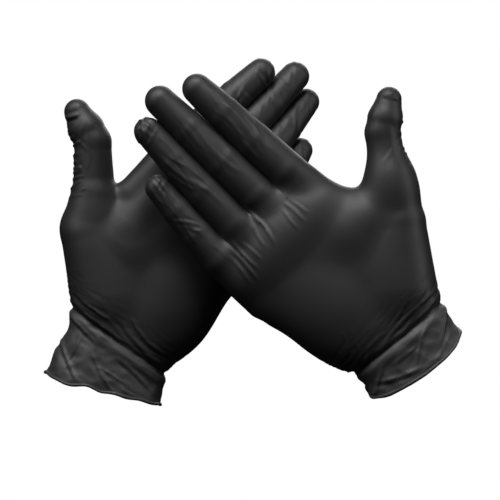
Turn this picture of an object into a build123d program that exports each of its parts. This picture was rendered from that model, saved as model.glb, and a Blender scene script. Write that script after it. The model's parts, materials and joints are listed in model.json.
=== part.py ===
"""A pair of thin disposable gloves, shaped as two raised hands fill them.

Both palms face -Y. The right glove stands in front and its fingers cross over the left glove's palm.
Each glove is film in named zones: a cuff with its rolled bead, a palm, and a stall for each finger
and thumb. A stall bends where a worn one does. There the film outside ends in a slanted
rim, and the next zone starts as a ball inside it, so neither touches the other as it bends.

The origin is the middle of the left cuff's mouth. +X runs across the pair, +Z up.
"""

import os
from math import atan2, cos, degrees, radians, sin

from build123d import *

# ---- Driving dimensions, in millimetres and degrees ----

FILM = 0.6  # wall of every zone
SLIP = 0.4  # free gap round the ball at each bend
NECK = 2.0  # length of the narrow neck between a ball and the full stall
FLARE = 1.2  # length over which a neck widens to the full stall
SOCKET_DEPTH = 4.0  # how far a ball reaches back inside the zone before it
LEAST_SETBACK = 0.6  # least distance from a rim back to its bend
RIM_SPARE = 0.55  # free gap left at a rim when its bend is turned right over
STEP_DOWN = 0.25  # how much slimmer a zone starts than the rim before it

GLOVE_GAP = 30.5
BEAD_RADIUS = 1.1  # rolled edge of a cuff

# Stalls: the three zone lengths, and the outer radius at the root, at both knuckles and at the tip.
FINGERS = {
    "index": {"lengths": (25.5, 23.5, 21.5), "radii": (10.3, 9.7, 9.2, 8.1)},
    "middle": {"lengths": (27.5, 27.0, 24.0), "radii": (10.2, 9.7, 9.2, 8.3)},
    "ring": {"lengths": (26.0, 25.5, 22.5), "radii": (9.9, 9.2, 8.5, 7.7)},
    "little": {"lengths": (19.5, 18.0, 17.5), "radii": (8.9, 8.2, 7.7, 7.0)},
}
THUMB_RADII = (12.6, 11.0, 9.2)
ZONES = ("base", "middle", "tip")

# Palm sections, from wrist to finger roots: distance along, shift towards the thumb, half width
# and half thickness.
PALM_SECTIONS = (
    (0.0, 0.0, 31.4, 19.4),
    (22.0, 4.0, 42.0, 18.0),
    (45.0, 3.5, 46.5, 16.5),
    (60.0, 0.5, 46.5, 15.0),
    (78.0, -3.2, 44.3, 13.6),
    (95.0, -6.0, 42.5, 11.8),
    (108.0, -7.5, 41.0, 9.2),
)
WRIST_REACH = 10.0  # how far a palm reaches down inside its cuff
WRIST_HALF = (33.0, 21.0)  # half width and half thickness of a cuff at the wrist
CUFF_START = -3.5  # where a cuff ends short of the wrist, so that the wrist can bend
MOUTH_HALF = (35.0, 23.0)  # the same two of a cuff's mouth
FINGER_STUB = (22.0, 1.04)  # of palm film drawn out towards a finger: length, and girth at its foot
THUMB_STUB = (46.0, 1.35)  # the same for the thumb

# How far each bend turns from where it is drawn, in degrees: (back, forward). Forward curls a finger
# towards the palm, and swings a thumb towards the index finger.
CURL_RANGES = ((0.0, 65.0), (0.0, 75.0), (0.0, 50.0))
PRESSED_RANGES = ((-5.0, 5.0), (0.0, 5.0), (0.0, 3.35))
THUMB_RANGES = ((-5.0, 25.0), (0.0, 50.0))

# Each glove: its wrist, its lean from upright towards +X, its mouth, the root, knuckle and tip of its
# thumb, and for every finger its root, its splay towards the thumb and its tilt back. Places on a
# glove are across towards the thumb and along from the wrist.
GLOVES = {
    "left": {
        "wrist": (11.0078, 0.0, 27.2842),
        "lean": 29.0,
        "thumb_side": -1,
        "mouth": {"centre": (-3.6, -29.2), "turn": 14.0, "tip_back": 0.0},
        "thumb": ((56.2, 67.7), (71.5, 94.0), (86.3, 106.6)),
        "fingers": {
            "index": {"root": (27.0, 112.0), "splay": -17.8, "tilt": 10.0},
            "middle": {"root": (4.0, 114.0), "splay": -12.7, "tilt": 18.0},
            "ring": {"root": (-17.0, 111.0), "splay": -7.3, "tilt": 25.5},
            "little": {"root": (-37.0, 103.0), "splay": 0.6, "tilt": 31.0},
        },
        "fit": {"length": 1.0, "girth": 0.97},
        "ranges": PRESSED_RANGES,
    },
    "right": {
        "wrist": (169.9, -GLOVE_GAP, 31.3),
        "lean": -45.0,
        "thumb_side": 1,
        "mouth": {"centre": (-8.2, -16.6), "turn": 10.0, "tip_back": 18.0},
        "thumb": ((60.2, 63.4), (77.6, 87.5), (92.2, 99.7)),
        "fingers": {
            "index": {"root": (22.4, 112.0), "splay": -2.6, "tilt": 0.0},
            "middle": {"root": (0.8, 114.0), "splay": -0.9, "tilt": 0.0},
            "ring": {"root": (-20.2, 111.0), "splay": 2.0, "tilt": 0.0},
            "little": {"root": (-39.9, 103.0), "splay": 3.8, "tilt": 0.0},
        },
        "fit": {"length": 0.98, "girth": 1.0},
        "ranges": CURL_RANGES,
    },
}

PALM_SIDE = Vector(0, -1, 0)  # both palms face this way


# ---- Where things are ----


def glove_axes(glove):
    """Directions across towards the thumb and along towards the fingers."""
    lean = radians(glove["lean"])
    along = Vector(sin(lean), 0, cos(lean))
    across = glove["thumb_side"] * Vector(cos(lean), 0, -sin(lean))
    return across, along


def place(glove, across, along, palmward=0.0):
    """The point that lies so far across, along and palmward from the glove's wrist."""
    u, v = glove_axes(glove)
    return Vector(*glove["wrist"]) + across * u + along * v + palmward * PALM_SIDE


def mouth_plane(glove):
    """The plane of a cuff's mouth, whose normal points out of it."""
    u, v = glove_axes(glove)
    turn, tip = radians(glove["mouth"]["turn"]), radians(glove["mouth"]["tip_back"])
    out = (-sin(turn) * u - cos(turn) * v) * cos(tip) - sin(tip) * PALM_SIDE
    wide = cos(turn) * u - sin(turn) * v
    return Plane(origin=place(glove, *glove["mouth"]["centre"]), x_dir=wide, z_dir=out)


def finger_points(glove, name):
    """The three bends of a finger and the middle of its tip."""
    finger = glove["fingers"][name]
    u, v = glove_axes(glove)
    splay, tilt = radians(finger["splay"]), radians(finger["tilt"])
    direction = (sin(splay) * u + cos(splay) * v) * cos(tilt) - sin(tilt) * PALM_SIDE
    points = [place(glove, *finger["root"])]
    for length in FINGERS[name]["lengths"]:
        points.append(points[-1] + direction * length * glove["fit"]["length"])
    return points


def finger_radii(glove, name):
    return [radius * glove["fit"]["girth"] for radius in FINGERS[name]["radii"]]


def thumb_points(glove):
    return [place(glove, *point) for point in glove["thumb"]]


def bend_axis(glove, points, towards_palm):
    """A bend's axis: a positive turn curls a finger towards the palm, or a thumb towards the index."""
    u, v = glove_axes(glove)
    direction = (points[1] - points[0]).normalized()
    return direction.cross(PALM_SIDE).normalized() if towards_palm else u.cross(v)


# ---- Shapes that repeat ----


def ball_radius(radius):
    return radius - FILM - SLIP


def rest_turn(before, after, axis):
    """How far a bend is already turned where it is drawn, in degrees."""
    return degrees(atan2(axis.dot(before.cross(after)), before.dot(after)))


def rim_setback(angle, radius, next_radius):
    """How far short of a bend the film has to end, for the next zone to turn that far over it."""
    if angle <= 0:
        return LEAST_SETBACK
    turn = radians(angle)
    along_stall = (next_radius - (radius - FILM) * cos(turn)) / sin(turn)
    below_neck = next_radius * sin(turn) - NECK * cos(turn)
    return max(LEAST_SETBACK, min(along_stall, below_neck) + RIM_SPARE)


def rim_plane(bend, direction, axis, radius, next_radius, limits):
    """The slanted plane that the film outside a bend ends in, facing the zone beyond."""
    curl = axis.cross(direction).normalized()
    back = rim_setback(-limits[0], radius, next_radius)
    ahead = rim_setback(limits[1], radius, next_radius)
    low = bend - direction * ahead + curl * radius
    high = bend - direction * back - curl * radius
    normal = axis.cross(low - high).normalized()
    if normal.dot(direction) < 0:
        normal = -normal
    return Plane(origin=(low + high) * 0.5, x_dir=axis, z_dir=normal)


def meridian(origin, direction, side):
    """The plane of a stall's half section: x out from its axis, y along it."""
    return Plane(origin=origin, x_dir=side, z_dir=side.cross(direction))


def stall_zone(label, start, end, side, socket_radius, radii, closed):
    """One zone of a stall: a ball at start, a neck, and a tapered tube that is open or ends in a tip."""
    direction = (end - start).normalized()
    length = (end - start).length
    ball = ball_radius(socket_radius)
    first, last = radii
    reach = (ball**2 - SOCKET_DEPTH**2) ** 0.5
    inner_reach = ((ball - FILM) ** 2 - SOCKET_DEPTH**2) ** 0.5
    with BuildPart() as zone:
        with BuildSketch(meridian(start, direction, side)):
            with BuildLine():
                RadiusArc((reach, -SOCKET_DEPTH), (ball, 0), -ball)
                Polyline((ball, 0), (ball, NECK), (first, NECK + FLARE), (last, length))
                if closed:
                    CenterArc((0, length), last, 0, 90)
                    Line((0, length + last), (0, length + last - FILM))
                    CenterArc((0, length), last - FILM, 0, 90)
                else:
                    Line((last, length), (last - FILM, length))
                Polyline(
                    (last - FILM, length),
                    (first - FILM, NECK + FLARE),
                    (ball - FILM, NECK),
                    (ball - FILM, 0),
                )
                RadiusArc((inner_reach, -SOCKET_DEPTH), (ball - FILM, 0), -(ball - FILM))
                Line((inner_reach, -SOCKET_DEPTH), (reach, -SOCKET_DEPTH))
            make_face()
        revolve(axis=Axis(start, direction))
    zone.part.label = label
    return zone.part


def cut_rim(part, plane):
    """The part of a zone behind its rim."""
    with BuildPart() as cut:
        add(part)
        split(bisect_by=plane, keep=Keep.BOTTOM)
    cut.part.label = part.label
    return cut.part


def export(part):
    export_step(part, f"parts/{part.label}.step")


# ---- Sub-parts ----


def make_stall(label, glove, points, radii, ranges, towards_palm):
    """Every zone of one finger or thumb."""
    axis = bend_axis(glove, points, towards_palm)
    names = ZONES if len(points) == 4 else (ZONES[0], ZONES[2])
    for i, zone_name in enumerate(names):
        start, end = points[i], points[i + 1]
        direction = (end - start).normalized()
        closed = i == len(names) - 1
        span = (radii[i] - STEP_DOWN, radii[i + 1])
        zone = stall_zone(f"{label}_{zone_name}", start, end, axis, radii[i], span, closed)
        if not closed:
            rest = rest_turn(direction, (points[i + 2] - end).normalized(), axis)
            limits = [limit + rest for limit in ranges[i + 1]]
            rim = rim_plane(end, direction, axis, radii[i + 1], radii[i + 1] - STEP_DOWN, limits)
            zone = cut_rim(zone, rim)
        export(zone)


def palm_roots(glove):
    """For each stall: its points, its radius at the root, its range there, the stub it grows from, and
    whether it bends towards the palm."""
    roots = []
    for name in FINGERS:
        radius = finger_radii(glove, name)[0]
        roots.append((finger_points(glove, name), radius, glove["ranges"][0], FINGER_STUB, True))
    roots.append((thumb_points(glove), THUMB_RADII[0], THUMB_RANGES[0], THUMB_STUB, False))
    return roots


def palm_solid(glove, inset):
    """The filled outline of a palm with its stubs, inset all round: 0 for outside, FILM for inside."""
    u, v = glove_axes(glove)
    _, _, wrist_width, wrist_thickness = PALM_SECTIONS[0]
    with BuildPart() as solid:
        for along, shift, half_width, half_thickness in PALM_SECTIONS:
            end_inset = inset if along == PALM_SECTIONS[-1][0] else 0.0
            with BuildSketch(Plane(origin=place(glove, shift, along - end_inset), x_dir=u, z_dir=v)):
                Ellipse(half_width - inset, half_thickness - inset)
        loft()
        for points, radius, _, (length, girth), _ in palm_roots(glove):
            direction = (points[1] - points[0]).normalized()
            foot = Plane(origin=points[0] - direction * length, z_dir=direction)
            with BuildSketch(foot):
                Circle(radius * girth - inset)
            with BuildSketch(foot.offset(length + inset * 4)):
                Circle(radius - inset)
            loft()
        with BuildSketch(Plane(origin=place(glove, 0, 0), x_dir=u, z_dir=u.cross(v))):
            Ellipse(wrist_width - inset, wrist_thickness - inset)
            with Locations((0, wrist_thickness)):
                Rectangle(3 * wrist_width, 2 * wrist_thickness, mode=Mode.SUBTRACT)
        revolve(axis=Axis(place(glove, 0, 0), u))
        split(bisect_by=Plane(origin=place(glove, 0, -WRIST_REACH - inset), z_dir=v), keep=Keep.TOP)
    return solid.part


def beyond_root(glove, points, radius, limits, towards_palm):
    """What is cleared away beyond a root, so that its stall can turn."""
    axis = bend_axis(glove, points, towards_palm)
    direction = (points[1] - points[0]).normalized()
    with BuildPart() as cleared:
        with BuildSketch(rim_plane(points[0], direction, axis, radius, radius - STEP_DOWN, limits)):
            Rectangle(2 * radius + 1.0, 2 * radius + 4.0)
        extrude(amount=FINGER_STUB[0])
    return cleared.part


def make_palm(glove_name):
    """The palm and the back of one glove in one, as a hollow hand with five open stubs."""
    glove = GLOVES[glove_name]
    with BuildPart() as palm:
        add(palm_solid(glove, 0.0))
        add(palm_solid(glove, FILM), mode=Mode.SUBTRACT)
        for points, radius, limits, _, towards_palm in palm_roots(glove):
            add(beyond_root(glove, points, radius, limits, towards_palm), mode=Mode.SUBTRACT)
    hand = palm.part.solids().sort_by(SortBy.VOLUME)[-1]
    hand.label = f"{glove_name}_palm"
    export(hand)


def cuff_solid(glove, inset, reach):
    """The filled outline of a cuff. Reach carries both its ends on, so that an inside one cuts right through."""
    u, v = glove_axes(glove)
    with BuildPart() as solid:
        with BuildSketch(Plane(origin=place(glove, 0, CUFF_START + reach), x_dir=u, z_dir=-v)):
            Ellipse(WRIST_HALF[0] - inset, WRIST_HALF[1] - inset)
        with BuildSketch(mouth_plane(glove).offset(reach)):
            Ellipse(MOUTH_HALF[0] - inset, MOUTH_HALF[1] - inset)
        loft()
    return solid.part


def make_cuff(glove_name):
    """The cuff and the rolled bead round its mouth."""
    glove = GLOVES[glove_name]
    with BuildPart() as cuff:
        add(cuff_solid(glove, 0.0, 0.0))
        add(cuff_solid(glove, FILM, 0.01), mode=Mode.SUBTRACT)
    cuff.part.label = f"{glove_name}_cuff"
    export(cuff.part)

    with BuildPart() as bead:
        with BuildSketch(mouth_plane(glove)):
            Ellipse(MOUTH_HALF[0] + BEAD_RADIUS, MOUTH_HALF[1] + BEAD_RADIUS)
            Ellipse(MOUTH_HALF[0] - BEAD_RADIUS, MOUTH_HALF[1] - BEAD_RADIUS, mode=Mode.SUBTRACT)
        extrude(amount=2 * BEAD_RADIUS)
        fillet(bead.edges(), radius=BEAD_RADIUS * 0.9)
    bead.part.label = f"{glove_name}_cuff_bead"
    export(bead.part)


def make_glove(glove_name):
    glove = GLOVES[glove_name]
    make_cuff(glove_name)
    make_palm(glove_name)
    for name in FINGERS:
        points, radii = finger_points(glove, name), finger_radii(glove, name)
        make_stall(f"{glove_name}_{name}", glove, points, radii, glove["ranges"], True)
    make_stall(f"{glove_name}_thumb", glove, thumb_points(glove), THUMB_RADII, THUMB_RANGES, False)


def main():
    os.makedirs("parts", exist_ok=True)
    for glove_name in GLOVES:
        make_glove(glove_name)


main()
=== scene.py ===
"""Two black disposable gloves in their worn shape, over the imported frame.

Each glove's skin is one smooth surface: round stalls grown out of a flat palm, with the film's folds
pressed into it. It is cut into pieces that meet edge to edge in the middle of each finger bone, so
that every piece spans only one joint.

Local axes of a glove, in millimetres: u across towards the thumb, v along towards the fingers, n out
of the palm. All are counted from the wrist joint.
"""

import json
import math

import bmesh
import bpy
import numpy as np
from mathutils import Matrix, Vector


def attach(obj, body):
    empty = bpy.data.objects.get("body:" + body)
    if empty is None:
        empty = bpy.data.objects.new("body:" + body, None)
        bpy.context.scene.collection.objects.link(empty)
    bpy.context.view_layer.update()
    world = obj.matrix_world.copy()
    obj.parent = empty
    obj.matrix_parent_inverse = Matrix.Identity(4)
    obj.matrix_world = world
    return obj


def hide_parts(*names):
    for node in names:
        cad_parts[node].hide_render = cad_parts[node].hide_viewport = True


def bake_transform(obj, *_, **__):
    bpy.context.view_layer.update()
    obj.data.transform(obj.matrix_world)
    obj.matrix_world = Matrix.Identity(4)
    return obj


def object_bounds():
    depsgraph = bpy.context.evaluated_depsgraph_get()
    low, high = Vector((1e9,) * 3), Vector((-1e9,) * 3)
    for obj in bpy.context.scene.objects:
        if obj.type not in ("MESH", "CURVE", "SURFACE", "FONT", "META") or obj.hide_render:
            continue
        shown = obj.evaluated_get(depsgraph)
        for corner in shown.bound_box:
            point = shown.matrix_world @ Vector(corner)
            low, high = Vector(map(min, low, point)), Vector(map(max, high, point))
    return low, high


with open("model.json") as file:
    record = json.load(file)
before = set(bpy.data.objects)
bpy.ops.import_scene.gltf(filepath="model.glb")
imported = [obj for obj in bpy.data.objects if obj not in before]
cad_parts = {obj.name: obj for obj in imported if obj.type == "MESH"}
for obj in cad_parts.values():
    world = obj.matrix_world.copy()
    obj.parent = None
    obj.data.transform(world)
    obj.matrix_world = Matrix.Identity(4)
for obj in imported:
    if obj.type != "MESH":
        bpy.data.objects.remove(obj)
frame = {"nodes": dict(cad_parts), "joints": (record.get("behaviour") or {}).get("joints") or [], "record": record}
CAD_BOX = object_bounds()

MM = 0.001
STEP = 0.95  # size of the surface's quads
FILM = 0.32  # thickness of the film
JOINTS = {joint["name"]: joint for joint in frame["joints"]}
MOUNTS = {mount["name"]: mount for mount in frame["record"]["mounts"]}
FINGERS = ("index", "middle", "ring", "little")
PALM_WARD = np.array([0.0, -1.0, 0.0])

# Palm and cuff sections: along, shift towards the thumb, half width, half thickness.
SECTIONS = np.array(
    [
        (-60.0, -10.0, 38.0, 24.0),
        (-40.0, -7.0, 37.0, 23.5),
        (-28.0, -4.5, 35.5, 22.5),
        (-14.0, -1.5, 33.0, 20.5),
        (-5.0, 0.0, 31.8, 19.5),
        (4.0, 1.2, 32.4, 19.0),
        (16.0, 3.2, 36.6, 18.8),
        (36.0, 3.6, 43.5, 17.4),
        (60.0, -1.0, 46.4, 15.8),
        (76.0, -3.1, 45.0, 14.6),
        (88.0, -5.5, 42.6, 12.8),
        (100.0, -6.2, 41.0, 10.2),
        (112.0, -7.0, 39.5, 7.6),
    ]
)
PALM_END = 110.0
KNUCKLE_CUT = 99.0  # where the fingers' pieces start on the palm
KNUCKLE_CUT_SLOPE = 0.12
FULLNESS = np.array([1.3, 1.5, 1.1, 0.4])  # of a finger over its bare stall: root, knuckles, tip
# The filled thumb against its bare stall at the root, the joint and the tip: how far outward it lies and
# how much fuller it is. Then the web's place along the hand, radius and blend, and the thumb's blend.
THUMBS = {
    "right": {
        "out": (-1.6, -1.8, 0.2),
        "fuller": (-0.9, -0.8, -2.1),
        "web": (60.0, 12.3, 5.0),
        "blend": 12.0,
    },
    "left": {
        "out": (0.0, 0.0, 2.3),
        "fuller": (0.0, 0.0, -1.7),
        "web": (50.0, 11.5, 3.0),
        "blend": 2.0,
    },
}
PALM_POWER = 2.35  # 2 makes the sections ellipses, more makes them squarer
# The palm's pads, as ends and radii of round cones or centres and half sizes of ellipsoids.
THENAR_START = np.array([22.0, 18.0, 1.6])
THENAR_END = np.array([50.0, 46.0, 1.0])
THENAR_RADII = (16.0, 14.3)
THUMB_ROOT_RADIUS = 13.4
HEEL = (np.array([-17.0, 33.0, 2.8]), np.array([24.0, 34.0, 15.0]))
FINGER_PADS = (np.array([-6.0, 84.0, 2.5]), np.array([38.0, 15.0, 12.0]))
INDEX_EDGE = (np.array([22.5, 97.0, 1.0]), np.array([27.5, 63.0, 1.5]), 11.4, 13.0)
# A finger's middle line goes on back into the palm, deeper and thinner.
ROOT_BACK = 34.0
ROOT_DEPTH = 4.5
ROOT_TAPER = 0.76
WRIST_CUT = 13.0  # where the palm's piece starts
CUFF_CUT = -17.0  # where the cuff's own piece ends, below the band
THUMB_CUT_ACROSS = 44.0  # the thumb's pieces lie beyond this, across the hand
THUMB_CUT_BEFORE = 9.0  # and start this far before its root joint
HAND_LOW = np.array([-62.0, -52.0, -34.0])  # corner of the space searched for the hand's surface
# How far before and after its joint each piece of a finger reaches, as passed to bend_piece.
FINGER_BENDS = ((3.0, 11.0), (8.0, 8.0), (7.0, 7.0))


# ---- Distances to shapes ----


def smooth_step(x, low, high):
    t = np.clip((x - low) / (high - low), 0.0, 1.0)
    return t * t * (3.0 - 2.0 * t)


def smooth_min(a, b, k):
    h = np.clip(0.5 + 0.5 * (b - a) / k, 0.0, 1.0)
    return b + (a - b) * h - k * h * (1.0 - h)


def round_cone(p, a, b, ra, rb):
    """Distance to a capsule from a to b whose radius runs from ra to rb."""
    ab = b - a
    t = np.clip(((p - a) @ ab) / (ab @ ab), 0.0, 1.0)
    gap = p - a - t[:, None] * ab
    return np.sqrt((gap * gap).sum(axis=1)) - (ra + (rb - ra) * t)


def ellipsoid(p, centre, half):
    q = (p - centre) / half
    k0 = np.sqrt((q * q).sum(axis=1)) + 1e-9
    q = q / half
    k1 = np.sqrt((q * q).sum(axis=1)) + 1e-9
    return k0 * (k0 - 1.0) / k1


class Glove:
    """One glove: its local axes, its skeleton from the frame's joints, and its surface."""

    def __init__(self, side, sections_shift, cuff_shift, trim, seed):
        self.side = side
        self.seed = seed
        wrist = JOINTS[f"{side}_wrist_bend"]
        self.wrist = np.array(wrist["pos_m"])
        axis = np.array(wrist["axis"])
        self.v = np.cross(PALM_WARD, axis)
        thumb = np.array(JOINTS[f"{side}_thumb_swing"]["pos_m"])
        self.u = axis if (thumb - self.wrist) @ axis > 0 else -axis
        self.basis = np.array([self.u, self.v, PALM_WARD])
        self.flip = np.linalg.det(self.basis) < 0
        self.shift = sections_shift
        self.cuff_shift = cuff_shift
        self.trim = trim
        self.stalls = {name: self.stall(name) for name in FINGERS}
        self.thumb = self.stall("thumb")
        self.full_thumb = self.fill_thumb()
        mount = MOUNTS[f"{side}_wrist_opening"]
        self.mouth = self.local(np.array([mount["pos_m"]]))[0]
        self.mouth_out = self.basis @ np.array(mount["axis"])

    def local(self, points):
        return (points - self.wrist) @ self.basis.T / MM

    def world(self, points):
        return (points * MM) @ self.basis + self.wrist

    def stall(self, name):
        """The bends and tip of a stall, and its radius at each of them, read off the frame."""
        bends = ("swing", "joint") if name == "thumb" else ("knuckle", "middle_joint", "tip_joint")
        zones = ("base", "tip") if name == "thumb" else ("base", "middle", "tip")
        points = [self.local(np.array([JOINTS[f"{self.side}_{name}_{b}"]["pos_m"]]))[0] for b in bends]
        meshes = [self.node(f"{self.side}_{name}_{zone}") for zone in zones]
        radii = []
        for mesh, start, after in zip(meshes, points, points[1:] + [None]):
            # A zone is a figure of revolution, so its middle line runs through its vertices' mean.
            way = (mesh.mean(axis=0) - start) if after is None else (after - start)
            way = way / np.linalg.norm(way)
            along = (mesh - start) @ way
            off = np.linalg.norm(mesh - start - along[:, None] * way, axis=1)
            radii.append(off.max())
        far = along.max()
        round_end = off[along > far - 12.0].max()
        for _ in range(3):
            near_end = np.abs(along - (far - round_end)) < 1.5
            round_end = off[near_end].max() if near_end.any() else round_end
        points.append(start + way * (far - round_end))
        radii.append(round_end)
        return {"points": points, "radii": np.array(radii)}

    def fill_thumb(self):
        root, _, tip = self.thumb["points"]
        way = (tip - root) / np.linalg.norm(tip - root)
        outer = np.array([way[1], -way[0], 0.0])
        shape = THUMBS[self.side]
        points = [point + outer * out for point, out in zip(self.thumb["points"], shape["out"])]
        return {"points": points, "radii": self.thumb["radii"] + np.array(shape["fuller"])}

    def node(self, name):
        mesh = frame["nodes"][name].data
        flat = np.empty(len(mesh.vertices) * 3, dtype=np.float32)
        mesh.vertices.foreach_get("co", flat)
        return self.local(flat.reshape(-1, 3).astype(float))

    # ---- The glove's surface as a field: negative inside ----

    def palm_field(self, p):
        v = p[:, 1]
        c, a, b = (smooth_interp(v, SECTIONS[:, 0], SECTIONS[:, i]) for i in (1, 2, 3))
        c = c + self.shift * (smooth_step(v, 15.0, 52.0) - 1.25 * smooth_step(v, 56.0, 76.0))
        c = c + self.cuff_shift * (1.0 - smooth_step(v, -34.0, 2.0))
        x, z = (p[:, 0] - c) / a, p[:, 2] / b
        rho = (np.abs(x) ** PALM_POWER + np.abs(z) ** PALM_POWER + 1e-9) ** (1.0 / PALM_POWER)
        gx = (np.abs(x) / rho) ** (PALM_POWER - 1.0) / a
        gz = (np.abs(z) / rho) ** (PALM_POWER - 1.0) / b
        side = (rho - 1.0) / np.sqrt(gx * gx + gz * gz + 1e-9)
        plate = -smooth_min(-side, PALM_END - v, 9.0)
        root = self.full_thumb["points"][0]
        middle = THENAR_END + np.array([1.4 * THUMBS[self.side]["out"][0], 0.0, 0.0])
        thenar = round_cone(p, THENAR_START, middle, *THENAR_RADII)
        heel = ellipsoid(p, *HEEL)
        pads = ellipsoid(p, *FINGER_PADS)
        ball = round_cone(p, middle, root, THENAR_RADII[1], THUMB_ROOT_RADIUS)
        height, radius, k = THUMBS[self.side]["web"]
        web_start, web_end = np.array([24.0, height, 0.0]), np.array([54.0, height - 1.5, 0.5])
        web = round_cone(p, web_start, web_end, radius, radius)
        thumb_side = smooth_min(smooth_min(thenar, ball, 1.0), web, k)
        body = smooth_min(plate, thumb_side, 14.0)
        body = smooth_min(body, heel, 9.0)
        if self.side == "left":
            body = smooth_min(body, round_cone(p, *INDEX_EDGE), 6.0)
        return smooth_min(body, pads, 8.0)

    def finger_field(self, p, name):
        points, radii = self.stalls[name]["points"], self.stalls[name]["radii"] + FULLNESS
        root_way = (points[1] - points[0]) / np.linalg.norm(points[1] - points[0])
        sunk = points[0] - root_way * ROOT_BACK - np.array([0.0, 0.0, ROOT_DEPTH])
        field = round_cone(p, sunk, points[0], radii[0] * ROOT_TAPER, radii[0])
        for i in range(3):
            bone = round_cone(p, points[i], points[i + 1], radii[i], radii[i + 1])
            field = smooth_min(field, bone, 0.8)
        return field

    def thumb_field(self, p):
        points, radii = self.full_thumb["points"], self.full_thumb["radii"]
        base = round_cone(p, points[0], points[1], radii[0], radii[1])
        pad = 0.55 * points[1] + 0.45 * points[2]
        pad_radius = 0.55 * radii[1] + 0.45 * radii[2] + 1.2
        tip = smooth_min(
            round_cone(p, points[1], pad, radii[1], pad_radius),
            round_cone(p, pad, points[2], pad_radius, radii[2]),
            1.0,
        )
        return smooth_min(base, tip, 1.5)

    def field(self, p, fingers=FINGERS):
        palm = smooth_min(self.palm_field(p), self.thumb_field(p), THUMBS[self.side]["blend"])
        stalls = None
        for name in fingers:
            stall = self.finger_field(p, name)
            stalls = stall if stalls is None else np.minimum(stalls, stall)
        return smooth_min(palm, stalls, 4.5)

    def slope(self, p, fingers):
        """The field's gradient, made unit: the way out of the surface."""
        reach = 0.35
        g = np.empty_like(p)
        for i in range(3):
            shift = np.zeros(3)
            shift[i] = reach
            g[:, i] = self.field(p + shift, fingers) - self.field(p - shift, fingers)
        return g / (np.linalg.norm(g, axis=1)[:, None] + 1e-12)


def smooth_interp(x, xs, ys):
    """Cubic interpolation through the sections, with slopes from their neighbours."""
    slopes = np.gradient(ys, xs)
    i = np.clip(np.searchsorted(xs, x) - 1, 0, len(xs) - 2)
    h = xs[i + 1] - xs[i]
    t = np.clip((x - xs[i]) / h, 0.0, 1.0)
    t2, t3 = t * t, t * t * t
    return (
        (2 * t3 - 3 * t2 + 1) * ys[i]
        + (t3 - 2 * t2 + t) * h * slopes[i]
        + (3 * t2 - 2 * t3) * ys[i + 1]
        + (t3 - t2) * h * slopes[i + 1]
    )


# ---- From field to quads ----


def surface_nets(glove, low, high, fingers):
    """Quads on the field's zero surface, on one lattice that all of a glove's meshes share."""
    first = np.floor(np.array(low) / STEP).astype(int)
    count = np.ceil(np.array(high) / STEP).astype(int) - first + 1
    axes = [(first[i] + np.arange(count[i])) * STEP for i in range(3)]
    values = np.empty(tuple(count), dtype=np.float32)
    for i, x in enumerate(axes[0]):
        yy, zz = np.meshgrid(axes[1], axes[2], indexing="ij")
        slab = np.stack([np.full(yy.size, x), yy.ravel(), zz.ravel()], axis=1)
        values[i] = glove.field(slab, fingers).reshape(count[1], count[2])
    cells = tuple(count - 1)
    total = np.zeros((np.prod(cells), 3))
    hits = np.zeros(np.prod(cells))
    quads = []
    for axis in range(3):
        a = np.take(values, range(count[axis] - 1), axis=axis)
        b = np.take(values, range(1, count[axis]), axis=axis)
        edges = np.argwhere((a < 0) != (b < 0))
        o1, o2 = (axis + 1) % 3, (axis + 2) % 3
        keep = (edges[:, o1] > 0) & (edges[:, o2] > 0)
        keep &= (edges[:, o1] < cells[o1]) & (edges[:, o2] < cells[o2])
        edges = edges[keep]
        va, vb = a[tuple(edges.T)], b[tuple(edges.T)]
        point = edges.astype(float)
        point[:, axis] += va / (va - vb)
        corners = []
        for d1, d2 in ((1, 1), (0, 1), (0, 0), (1, 0)):
            cell = edges.copy()
            cell[:, o1] -= d1
            cell[:, o2] -= d2
            flat = np.ravel_multi_index(tuple(cell.T), cells)
            corners.append(flat)
            for i in range(3):
                total[:, i] += np.bincount(flat, weights=point[:, i], minlength=len(total))
            hits += np.bincount(flat, minlength=len(total))
        quad = np.stack(corners, axis=1)
        quad[va > vb] = quad[va > vb][:, ::-1]
        quads.append(quad)
    quads = np.concatenate(quads)
    used = np.unique(quads)
    renumber = np.zeros(len(total), dtype=int)
    renumber[used] = np.arange(len(used))
    points = (total[used] / hits[used][:, None] + first) * STEP
    return points, renumber[quads][:, ::-1]


def settle(glove, points, fingers):
    """Moves points onto the zero surface and returns them with their ways out."""
    for _ in range(2):
        way = glove.slope(points, fingers)
        points = points - way * glove.field(points, fingers)[:, None]
    return points, glove.slope(points, fingers)


def vertex_normals(points, quads):
    a, b, c, d = (points[quads[:, i]] for i in range(4))
    cross = np.cross(c - a, d - b)
    normals = np.zeros_like(points)
    for i in range(4):
        for axis in range(3):
            normals[:, axis] += np.bincount(quads[:, i], weights=cross[:, axis], minlength=len(points))
    return normals / (np.linalg.norm(normals, axis=1)[:, None] + 1e-12)


# ---- Folds pressed into the film ----


def crease(p, start, end, width, height, bow=0.0, side=0.0, out=None):
    """Height of one soft fold drawn from start to end in (u, v), fading at both ends."""
    a, b = np.array(start), np.array(end)
    length = np.linalg.norm(b - a)
    way = (b - a) / length
    across = np.array([-way[1], way[0]])
    q = p[:, :2] - a
    s = q @ way / length
    d = q @ across - bow * 4.0 * s * (1.0 - s)
    taper = smooth_step(s, -0.12, 0.22) * (1.0 - smooth_step(s, 0.78, 1.12))
    x = d / width
    shape = (
        np.exp(-(np.abs(x) ** 1.3))
        - 0.6 * np.exp(-(((x - 1.6) / 1.1) ** 2))
        - 0.25 * np.exp(-(((x + 1.8) / 1.4) ** 2))
    )
    height = height * taper * shape
    if side:
        height = height * smooth_step(out[:, 2] * side, -0.25, 0.35)
    return height


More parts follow.
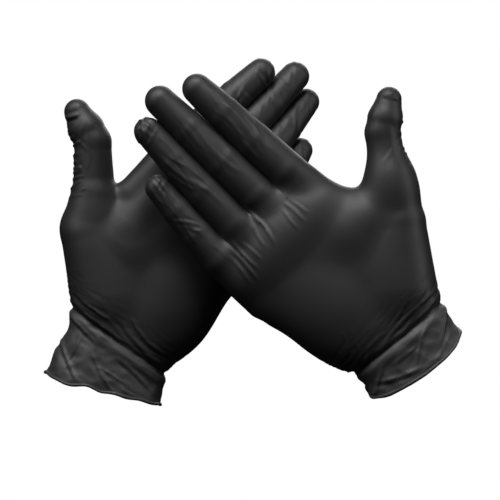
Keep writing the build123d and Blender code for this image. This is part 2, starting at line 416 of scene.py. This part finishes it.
def scatter_folds(p, out, rng, count, centre, spread, angle, turn, length, width, height, side=0.0):
    """Many small folds round a place, lying roughly along one direction, in degrees from u."""
    total = np.zeros(len(p))
    for _ in range(count):
        place = np.array(centre) + rng.normal(size=2) * np.array(spread)
        lie = math.radians(angle + rng.normal() * turn)
        half = 0.5 * rng.uniform(*length) * np.array([math.cos(lie), math.sin(lie)])
        bow = rng.normal() * 0.12 * np.linalg.norm(half)
        total += crease(
            p, place - half, place + half, rng.uniform(*width), rng.uniform(*height), bow, side, out
        )
    return total


def smooth_noise(p, rng, size, waves=24):
    """Soft random swell, about size millimetres across, from waves in random directions."""
    total = np.zeros(len(p))
    for _ in range(waves):
        way = rng.normal(size=3)
        way = way / np.linalg.norm(way) * (2.0 * math.pi / size) * rng.uniform(0.6, 1.5)
        total += np.sin(p @ way + rng.uniform(0.0, 2.0 * math.pi))
    return total / math.sqrt(waves)


def ridges(p, rng, size):
    """Crumpled film: flat facets that meet in sharp ridges, about size millimetres apart."""
    broad = smooth_noise(p, rng, size, 14)
    fine = smooth_noise(p, rng, size * 0.55, 14)
    return 0.8 - np.abs(broad) - 0.5 * np.abs(fine)


# Single folds as (start, end, width, height, bow), in millimetres across and along the hand.
FOLDS = {
    "right": (
        # From the webs into the palm.
        ((8.6, 100), (8.6, 85), 0.9, 0.75, 0.6),
        ((5.0, 98), (3.5, 84), 0.8, 0.55, -0.5),
        ((12.0, 97), (13.5, 87), 0.8, 0.40, 0.4),
        ((-8.8, 114), (-9.6, 102), 0.9, 0.95, 0.0),
        ((-8.6, 108), (-12.0, 88), 1.1, 0.80, 1.0),
        ((-13.0, 104), (-17.0, 90), 0.9, 0.55, -0.6),
        ((-31.5, 103), (-33.0, 81), 0.9, 0.85, 0.8),
        ((-28.0, 105), (-28.5, 85), 0.9, 0.80, -0.6),
        ((-24.5, 101), (-23.5, 86), 0.8, 0.60, 0.5),
        ((-35.0, 99), (-37.5, 82), 0.9, 0.65, 0.6),
        # Slack along the fingers.
        ((24.2, 165), (20.5, 134), 1.5, 0.65, 2.0),
        ((28.0, 152), (22.0, 130), 1.3, 0.60, 1.2),
        ((19.0, 150), (15.5, 128), 1.2, 0.45, -1.0),
        ((6.6, 164), (7.4, 139), 1.5, 0.65, 1.6),
        ((1.5, 152), (3.0, 130), 1.2, 0.50, -1.2),
        ((-22.5, 168), (-18.0, 136), 1.6, 0.70, -2.0),
        ((-26.0, 160), (-21.5, 139), 1.1, 0.50, -1.0),
        ((-19.5, 147), (-17.0, 124), 1.2, 0.50, 1.2),
        ((-17.5, 195), (-14.5, 180), 0.9, 0.60, 0.8),
        ((-13.5, 196), (-10.5, 183), 0.8, 0.50, -0.6),
        ((-20.5, 190), (-18.5, 179), 0.8, 0.45, 0.5),
        ((-35.3, 163), (-37.5, 150), 0.9, 0.60, 0.6),
        ((-39.0, 160), (-41.0, 147), 0.8, 0.45, -0.5),
        ((-43.0, 137), (-34.5, 125), 0.9, 0.70, 0.4),
        ((-41.5, 132), (-35.5, 121), 0.8, 0.45, -0.4),
        # Gathers at the wrist.
        ((33.0, 1.5), (2.0, 1.5), 0.9, 0.90, 0.8),
        ((31.0, 5.0), (-4.0, 5.0), 1.0, 0.85, -1.2),
        ((29.0, 9.0), (8.0, 9.5), 0.9, 0.60, 0.8),
        ((17.0, 12.5), (-10.0, 7.5), 0.9, 0.55, 0.9),
        ((-6.0, 9.0), (-29.0, 7.0), 0.8, 0.50, -0.8),
        ((-20.0, 25.0), (-26.5, 14.5), 0.9, 0.40, 0.6),
        ((-15.0, 22.0), (-21.0, 12.0), 0.8, 0.35, -0.5),
        # Across the crumpled cuff.
        ((31.0, -6.0), (12.0, -19.0), 1.0, 1.00, 1.0),
        ((17.0, -5.0), (-3.0, -16.0), 1.0, 0.90, -0.8),
        ((-2.0, -20.0), (-26.0, -9.0), 1.1, 0.95, 0.8),
        ((24.0, -17.0), (5.0, -23.0), 0.9, 0.70, 0.5),
        ((-19.0, -5.0), (-33.0, -14.0), 0.9, 0.80, -0.5),
        ((4.0, -9.0), (-14.0, -7.0), 0.8, 0.60, 0.6),
    ),
    "left": (
        # Gathers at the wrist, fanning out from the thumb's side.
        ((36.0, 8.0), (4.0, 3.0), 1.0, 1.00, 1.2),
        ((36.0, 5.0), (8.0, -1.0), 0.9, 0.90, -0.8),
        ((35.0, 12.0), (10.0, 9.5), 0.9, 0.65, 1.0),
        ((34.0, 1.0), (12.0, -6.0), 0.9, 0.90, 0.8),
        ((2.0, 16.5), (-23.0, 7.0), 1.0, 0.80, 2.0),
        ((6.0, 11.0), (-25.0, 1.5), 1.0, 0.85, 1.6),
        ((10.0, 4.0), (-20.0, -3.0), 0.9, 0.80, 1.0),
        ((-8.0, 5.0), (-31.0, -2.0), 0.9, 0.65, 0.8),
        # Across the crumpled cuff.
        ((32.0, -15.0), (12.0, -30.0), 1.0, 1.10, 0.6),
        ((22.0, -8.0), (22.0, -23.0), 0.9, 0.90, -0.5),
        ((12.0, -12.0), (-12.0, -27.0), 1.0, 1.00, 1.0),
        ((-3.0, -8.0), (-28.0, -15.0), 1.0, 0.90, -0.8),
        ((-12.0, -22.0), (-31.0, -22.0), 0.9, 0.70, 0.5),
        ((2.0, -17.0), (-16.0, -18.0), 0.8, 0.65, 0.6),
        ((30.0, -24.0), (36.0, -14.0), 0.8, 0.60, 0.3),
    ),
}
WAIST = {"right": -0.1, "left": 0.11}  # slope of the tight line round the wrist


def hand_folds(glove, p):
    """What both gloves share: a tight waist, a crumpled cuff below it and slack over the hand."""
    rng = np.random.default_rng(glove.seed)
    height = 0.08 * smooth_noise(p, rng, 26.0)
    below = p[:, 1] - WAIST[glove.side] * p[:, 0]
    cuff = 1.0 - smooth_step(below, -8.0, 0.0)
    swell = 0.40 * smooth_noise(p, rng, 18.0)
    crumple = 0.42 * ridges(p * np.array([0.7, 1.0, 0.7]), rng, 13.0)
    height += cuff * (swell + crumple)
    band = smooth_step(below, -10.0, -1.0) * (1.0 - smooth_step(below, 5.0, 24.0))
    height += band * 0.30 * ridges(p * np.array([0.35, 1.6, 0.35]), rng, 8.0)
    height -= 1.5 * np.exp(-((below / 1.5) ** 2))
    height += 0.7 * np.exp(-(((below + 4.5) / 2.4) ** 2))
    for start, end, width, tall, bow in FOLDS[glove.side]:
        height += crease(p, start, end, width, 0.75 * tall, bow)
    return height


def front_folds(glove, p, out):
    rng = np.random.default_rng(glove.seed + 1)
    height = np.zeros(len(p))
    for name in FINGERS:
        points = glove.stalls[name]["points"]
        for point in points[1:3]:
            height += scatter_folds(
                p, out, rng, 4, point[:2], (3.5, 6.0), 84.0, 14.0, (12, 26), (0.7, 1.1), (0.10, 0.24)
            )
    for name in ("ring", "little"):
        tip = glove.stalls[name]["points"][3][:2]
        height += scatter_folds(
            p, out, rng, 5, tip, (3.0, 4.0), 55.0, 30.0, (6, 14), (0.7, 1.0), (0.3, 0.5)
        )
    return height


def rear_folds(glove, p, out):
    rng = np.random.default_rng(glove.seed + 2)
    height = np.zeros(len(p))
    for name in FINGERS:
        points = glove.stalls[name]["points"]
        for point in points[1:]:
            height += scatter_folds(
                p, out, rng, 5, point[:2], (3.5, 5.5), 62.0, 24.0, (9, 22), (0.7, 1.1), (0.12, 0.32)
            )
    return height


def thumb_folds(glove, p, out):
    """Short creases across the outer edge of the thumb, and a step where its nail ends."""
    rng = np.random.default_rng(glove.seed + 3)
    root, knuckle, tip = (point[:2] for point in glove.thumb["points"])
    way = (tip - root) / np.linalg.norm(tip - root)
    outer = np.array([way[1], -way[0]])
    height = np.zeros(len(p))
    start, end, count = (0.38, 0.72, 6) if glove.side == "right" else (0.0, 0.78, 15)
    for s in np.linspace(start, end, count) + rng.normal(size=count) * 0.012:
        place = root + (tip - root) * s + outer * rng.uniform(7.5, 10.5)
        half = rng.uniform(2.0, 6.0) * (outer + way * (rng.normal() * 0.25 - 0.3))
        height += crease(p, place - half, place + half, rng.uniform(0.6, 1.0), rng.uniform(0.25, 0.6))
    if glove.side == "left":
        step = tip - way * 2.5
        height += crease(p, step + outer * 9.5, step + outer * 1.5, 1.2, 1.2, 0.5)
    else:
        height += scatter_folds(
            p, out, rng, 5, tip + outer * 2.0, (2.0, 2.5), 120.0, 20.0, (4, 8), (0.7, 1.0), (0.2, 0.4)
        )
    height += scatter_folds(
        p, out, rng, 7, knuckle + outer * 2.0, (4.0, 8.0), 40.0, 25.0, (9, 20), (0.8, 1.2), (0.10, 0.26)
    )
    return height


def fold_height(glove, p, out):
    height = hand_folds(glove, p) + thumb_folds(glove, p, out)
    return height + (front_folds if glove.side == "right" else rear_folds)(glove, p, out)


# ---- Pieces ----


def make_piece(name, glove, points, normals, quads, slot):
    """A closed thin shell of film: an outer and an inner sheet joined round the edge."""
    used, flat = np.unique(quads, return_inverse=True)
    quads = flat.reshape(-1, 4)
    outer, normals = points[used], normals[used]
    inner = outer - normals * FILM
    count = len(used)
    edges = np.concatenate([quads[:, [i, (i + 1) % 4]] for i in range(4)])
    keys = np.sort(edges, axis=1)
    _, where, times = np.unique(keys, axis=0, return_index=True, return_counts=True)
    rim = edges[where[times == 1]]
    rim_quads = np.stack([rim[:, 1], rim[:, 0], rim[:, 0] + count, rim[:, 1] + count], axis=1)
    faces = np.concatenate([quads, quads[:, ::-1] + count, rim_quads])
    if glove.flip:
        faces = faces[:, ::-1]
    places = glove.world(np.concatenate([outer, inner]))
    mesh = bpy.data.meshes.new(name)
    mesh.vertices.add(len(places))
    mesh.vertices.foreach_set("co", places.astype(np.float32).ravel())
    mesh.loops.add(faces.size)
    mesh.loops.foreach_set("vertex_index", faces.astype(np.int32).ravel())
    mesh.polygons.add(len(faces))
    mesh.polygons.foreach_set("loop_start", np.arange(0, faces.size, 4, dtype=np.int32))
    mesh.update(calc_edges=True)
    mesh.validate()
    mesh.polygons.foreach_set("use_smooth", np.ones(len(mesh.polygons), dtype=bool))
    ways = np.concatenate([normals, -normals]) @ glove.basis
    mesh.normals_split_custom_set_from_vertices(ways.tolist())
    piece = bpy.data.objects.new(name, mesh)
    bpy.context.scene.collection.objects.link(piece)
    mesh.materials.append(MATERIALS[slot])
    return piece


def at(glove, point):
    return tuple(glove.world(np.array([point]))[0])


def stall_cuts(stall):
    """A place on the middle line between each two bends, with the way along it there."""
    points = stall["points"]
    cuts = []
    for a, b in zip(points[:-2], points[1:-1]):
        cuts.append(((a + b) / 2, (b - a) / np.linalg.norm(b - a)))
    return cuts


def bend_piece(glove, piece, name, bend, body_a, body_b, before, after):
    """Works out the places so far before and after one joint of a stall, then bakes the piece's transform into its
    mesh.
    """
    points = glove.thumb["points"] if name == "thumb" else glove.stalls[name]["points"]
    way = (points[bend + 1] - points[bend]) / np.linalg.norm(points[bend + 1] - points[bend])
    at(glove, points[bend] - way * before)
    at(glove, points[bend] + way * after)
    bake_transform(piece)


def knuckle_side(p):
    """Positive beyond the line where the fingers' pieces start."""
    return p[:, 1] - KNUCKLE_CUT - KNUCKLE_CUT_SLOPE * p[:, 0]


def dress(glove, low, high, fingers):
    """The surface between two corners with its folds pressed in, as points, quads and normals."""
    points, quads = surface_nets(glove, low, high, fingers)
    points, out = settle(glove, points, fingers)
    points = points + out * fold_height(glove, points, out)[:, None]
    normals = vertex_normals(points, quads)
    if (normals * out).sum() < 0:
        normals = -normals
        quads = quads[:, ::-1]
    return points, quads, normals


def build_fingers(glove):
    """Each finger's three pieces, cut from its own surface."""
    side = glove.side
    for k, name in enumerate(FINGERS):
        stall = glove.stalls[name]
        ends = np.array([stall["points"][0], stall["points"][3]])
        low, high = ends.min(axis=0) - 20.0, ends.max(axis=0) + 20.0
        low[1] = KNUCKLE_CUT - 12.0
        points, quads, normals = dress(glove, low, high, (name,))
        middle = points[quads].mean(axis=1)
        keep = knuckle_side(middle) > 0
        own = glove.finger_field(middle, name)
        for other in [FINGERS[i] for i in (k - 1, k + 1) if 0 <= i < 4]:
            # Below the webs each piece keeps to its own side, and just past it so that no slit is left.
            past = own > glove.finger_field(middle, other) + 0.8
            keep &= ~(past & (middle[:, 1] < PALM_END + 3.0))
        cuts = stall_cuts(stall)
        past = [(middle - place) @ way > 0 for place, way in cuts]
        zones = (~past[0], past[0] & ~past[1], past[1])
        bodies = [f"{side}_palm"] + [f"{side}_{name}_{zone}" for zone in ("base", "middle", "tip")]
        for i, zone in enumerate(("base", "middle", "tip")):
            part = quads[keep & zones[i]]
            piece = make_piece(f"{side}_{name}_{zone}_skin", glove, points, normals, part, "film")
            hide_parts(bodies[i + 1])
            bend_piece(glove, piece, name, i, bodies[i], bodies[i + 1], *FINGER_BENDS[i])


def build_hand(glove):
    """The thumb, palm, wrist and cuff pieces, cut from one surface."""
    side = glove.side
    thumb = glove.thumb["points"]
    high = np.array([thumb[2][0] + 16.0, max(PALM_END + 14.0, thumb[2][1] + 14.0), 34.0])
    points, quads, normals = dress(glove, HAND_LOW, high, FINGERS)
    middle = points[quads].mean(axis=1)
    knuckle, way = stall_cuts(glove.thumb)[0]
    root_way = (thumb[1] - thumb[0]) / np.linalg.norm(thumb[1] - thumb[0])
    on_thumb = (middle - thumb[0]) @ root_way > -THUMB_CUT_BEFORE
    on_thumb &= middle[:, 0] > THUMB_CUT_ACROSS
    thumb_tip = on_thumb & ((middle - knuckle) @ way > 0)
    keep = on_thumb | (knuckle_side(middle) <= 0)
    wave = 0.9 * smooth_noise(points, np.random.default_rng(glove.seed + 5), 22.0)
    beyond = (points - glove.mouth) @ glove.mouth_out + wave + glove.trim
    keep &= beyond[quads].mean(axis=1) < 0
    v = middle[:, 1]
    below = v - WAIST[side] * middle[:, 0]
    zones = {
        "thumb_tip": keep & thumb_tip,
        "thumb_base": keep & on_thumb & ~thumb_tip,
        "palm": keep & ~on_thumb & (v > WRIST_CUT),
        "wrist": keep & ~on_thumb & (v <= WRIST_CUT) & (below > 0),
        "cuff_band": keep & ~on_thumb & (below <= 0) & (v > CUFF_CUT),
        "cuff": keep & ~on_thumb & (v <= CUFF_CUT),
    }
    points = trim_mouth(glove, points, quads, keep, beyond)
    made = {}
    for zone, chosen in zones.items():
        slot = "cuff_film" if zone in ("cuff", "cuff_band") else "film"
        made[zone] = make_piece(f"{side}_{zone}_skin", glove, points, normals, quads[chosen], slot)
    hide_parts(f"{side}_palm")
    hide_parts(f"{side}_cuff")
    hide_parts(f"{side}_thumb_base")
    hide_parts(f"{side}_thumb_tip")
    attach(made["palm"], f"{side}_palm")
    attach(made["cuff"], f"{side}_cuff")
    for zone in ("wrist", "cuff_band"):
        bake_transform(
            made[zone],
            f"{side}_cuff",
            f"{side}_palm",
            start=at(glove, (0, -11, 0)),
            end=at(glove, (0, 9, 0)),
        )
    bend_piece(glove, made["thumb_base"], "thumb", 0, f"{side}_palm", f"{side}_thumb_base", 8.0, 8.0)
    bend_piece(glove, made["thumb_tip"], "thumb", 1, f"{side}_thumb_base", f"{side}_thumb_tip", 8.0, 8.0)


def trim_mouth(glove, points, quads, keep, beyond):
    """Brings the cuff's cut edge onto the mouth and rolls the bead round it."""
    part = quads[keep]
    edges = np.concatenate([part[:, [i, (i + 1) % 4]] for i in range(4)])
    keys = np.sort(edges, axis=1)
    pairs, times = np.unique(keys, axis=0, return_counts=True)
    rim = np.unique(pairs[times == 1])
    rim = rim[np.abs(beyond[rim]) < 3.0 * STEP]
    points = points.copy()
    points[rim] -= beyond[rim][:, None] * glove.mouth_out
    make_bead(glove, points[rim])
    return points


def make_bead(glove, rim):
    """The rolled edge: a thin tube that follows the mouth and swells and thins a little."""
    centre = rim.mean(axis=0)
    wide = np.cross(glove.mouth_out, np.array([0.0, 0.0, 1.0]))
    wide = wide / np.linalg.norm(wide)
    deep = np.cross(glove.mouth_out, wide)
    x, y = (rim - centre) @ wide, (rim - centre) @ deep
    angle = np.arctan2(y, x)
    order = np.argsort(angle)
    angle, rim = angle[order], rim[order]
    count = 220
    turns = np.linspace(-math.pi, math.pi, count, endpoint=False)
    around = np.concatenate([angle - 2 * math.pi, angle, angle + 2 * math.pi])
    line = np.stack([np.interp(turns, around, np.tile(rim[:, i], 3)) for i in range(3)], axis=1)
    for _ in range(3):
        line = (np.roll(line, 1, axis=0) + 2 * line + np.roll(line, -1, axis=0)) / 4
    along = np.roll(line, -1, axis=0) - np.roll(line, 1, axis=0)
    along = along / np.linalg.norm(along, axis=1)[:, None]
    outward = np.cross(along, glove.mouth_out)
    outward = outward / np.linalg.norm(outward, axis=1)[:, None]
    down = np.cross(along, outward)
    sides = 10
    rng = np.random.default_rng(glove.seed + 6)
    girth = 1.0 + 0.12 * smooth_noise(line, rng, 14.0)
    spin = np.linspace(0.0, 2 * math.pi, sides, endpoint=False)
    away = np.cos(spin)[None, :, None] * outward[:, None, :]
    ring = away + np.sin(spin)[None, :, None] * down[:, None, :]
    points = (line[:, None, :] + ring * girth[:, None, None]).reshape(-1, 3)
    faces = []
    for i in range(count):
        for j in range(sides):
            nxt, side = (i + 1) % count, (j + 1) % sides
            faces.append((i * sides + j, nxt * sides + j, nxt * sides + side, i * sides + side))
    name = f"{glove.side}_cuff_bead_skin"
    mesh = bpy.data.meshes.new(name)
    mesh.from_pydata(glove.world(points).tolist(), [], faces)
    mesh.polygons.foreach_set("use_smooth", np.ones(len(mesh.polygons), dtype=bool))
    bead = bpy.data.objects.new(name, mesh)
    bpy.context.scene.collection.objects.link(bead)
    face_out(bead)
    mesh.materials.append(MATERIALS["cuff_film"])
    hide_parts(f"{glove.side}_cuff_bead")
    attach(bead, f"{glove.side}_cuff")


def face_out(piece):
    mesh = bmesh.new()
    mesh.from_mesh(piece.data)
    bmesh.ops.recalc_face_normals(mesh, faces=mesh.faces)
    mesh.to_mesh(piece.data)
    mesh.free()


# ---- Finish ----


def film_material(name, colour, roughness, grain):
    material = bpy.data.materials.new(name)
    material.use_nodes = True
    nodes, links = material.node_tree.nodes, material.node_tree.links
    shader = nodes["Principled BSDF"]
    shader.inputs["Base Color"].default_value = (*colour, 1.0)
    shader.inputs["Specular IOR Level"].default_value = 0.5
    shader.inputs["IOR"].default_value = 1.5
    where = nodes.new("ShaderNodeTexCoord")
    patches = nodes.new("ShaderNodeTexNoise")
    patches.inputs["Scale"].default_value = 60.0
    patches.inputs["Detail"].default_value = 3.0
    span = nodes.new("ShaderNodeMapRange")
    span.inputs["To Min"].default_value = roughness - 0.05
    span.inputs["To Max"].default_value = roughness + 0.07
    links.new(where.outputs["Object"], patches.inputs["Vector"])
    links.new(patches.outputs["Fac"], span.inputs["Value"])
    links.new(span.outputs["Result"], shader.inputs["Roughness"])
    fine = nodes.new("ShaderNodeTexNoise")
    fine.inputs["Scale"].default_value = 900.0
    fine.inputs["Detail"].default_value = 2.0
    bump = nodes.new("ShaderNodeBump")
    bump.inputs["Strength"].default_value = grain
    bump.inputs["Distance"].default_value = 0.0002
    links.new(where.outputs["Object"], fine.inputs["Vector"])
    links.new(fine.outputs["Fac"], bump.inputs["Height"])
    links.new(bump.outputs["Normal"], shader.inputs["Normal"])
    return material


MATERIALS = {
    "film": film_material("satin_film", (0.018, 0.018, 0.019), 0.52, 0.12),
    "cuff_film": film_material("satin_cuff_film", (0.040, 0.040, 0.041), 0.52, 0.16),
}


# ---- Surroundings ----

ROOM_LIGHT = 0.015
CAMERA_DISTANCE = 1.25
FRAME_WIDTH = 0.290  # of what the camera takes in at the gloves, in metres
CAMERA_SHIFT = (0.0001, -0.0100)  # right and up from the middle of the gloves, in metres
# Soft boxes: name, place from the gloves' middle, size and power.
LIGHTS = (
    ("top", (-0.08, -0.43, 0.80), (0.6, 0.4), 7.4),
    ("left", (-0.62, -0.42, 0.60), (0.4, 0.6), 3.0),
    ("right", (0.82, -0.30, 0.32), (0.35, 0.7), 2.1),
    ("back", (0.15, 0.80, 0.55), (0.8, 0.6), 5.0),
)


def area_light(name, place, target, size, power):
    light = bpy.data.lights.new(name, "AREA")
    light.shape = "RECTANGLE"
    light.size, light.size_y = size
    light.energy = power
    lamp = bpy.data.objects.new(name, light)
    lamp.location = place
    lamp.rotation_euler = (Vector(target) - Vector(place)).to_track_quat("-Z", "Y").to_euler()
    bpy.context.scene.collection.objects.link(lamp)


def studio_world():
    """White behind the object, and a dim even light from all round."""
    world = bpy.data.worlds.new("studio")
    world.use_nodes = True
    nodes, links = world.node_tree.nodes, world.node_tree.links
    backdrop = nodes["Background"]
    backdrop.inputs["Color"].default_value = (1.0, 1.0, 1.0, 1.0)
    backdrop.inputs["Strength"].default_value = 1.0
    dim = nodes.new("ShaderNodeBackground")
    dim.inputs["Color"].default_value = (1.0, 1.0, 1.0, 1.0)
    dim.inputs["Strength"].default_value = ROOM_LIGHT
    path = nodes.new("ShaderNodeLightPath")
    mix = nodes.new("ShaderNodeMixShader")
    links.new(path.outputs["Is Camera Ray"], mix.inputs["Fac"])
    links.new(dim.outputs["Background"], mix.inputs[1])
    links.new(backdrop.outputs["Background"], mix.inputs[2])
    links.new(mix.outputs["Shader"], nodes["World Output"].inputs["Surface"])
    bpy.context.scene.world = world


def floor(height):
    """A pale floor, bright enough to run into the backdrop."""
    mesh = bpy.data.meshes.new("floor")
    reach = 6.0
    corners = [(-reach, -reach), (reach, -reach), (reach, reach), (-reach, reach)]
    mesh.from_pydata([(x, y, height) for x, y in corners], [], [(0, 1, 2, 3)])
    ground = bpy.data.objects.new("floor", mesh)
    bpy.context.scene.collection.objects.link(ground)
    material = bpy.data.materials.new("pale_floor")
    material.use_nodes = True
    shader = material.node_tree.nodes["Principled BSDF"]
    shader.inputs["Base Color"].default_value = (0.0, 0.0, 0.0, 1.0)
    shader.inputs["Specular IOR Level"].default_value = 0.0
    shader.inputs["Emission Color"].default_value = (1.0, 1.0, 1.0, 1.0)
    shader.inputs["Emission Strength"].default_value = 1.0
    mesh.materials.append(material)
    ground.visible_diffuse = False
    ground.visible_glossy = False


def surroundings():
    low, high = (np.array(corner) for corner in CAD_BOX)
    middle = (low + high) / 2
    bpy.context.scene.view_settings.view_transform = "Standard"
    studio_world()
    floor(low[2] - 0.06)
    for name, place, size, power in LIGHTS:
        area_light(name, middle + np.array(place), middle, size, power)
    camera = bpy.data.cameras.new("camera")
    camera.sensor_width = 36.0
    camera.lens = camera.sensor_width * CAMERA_DISTANCE / FRAME_WIDTH
    eye = bpy.data.objects.new("camera", camera)
    eye.location = middle + np.array([CAMERA_SHIFT[0], -CAMERA_DISTANCE, CAMERA_SHIFT[1]])
    eye.rotation_euler = (math.radians(90.0), 0.0, 0.0)
    bpy.context.scene.collection.objects.link(eye)
    bpy.context.scene.camera = eye


GLOVES = (
    Glove("left", sections_shift=3.5, cuff_shift=0.0, trim=0.8, seed=11),
    Glove("right", sections_shift=0.0, cuff_shift=-5.0, trim=1.6, seed=23),
)
for glove in GLOVES:
    build_hand(glove)
    build_fingers(glove)
surroundings()
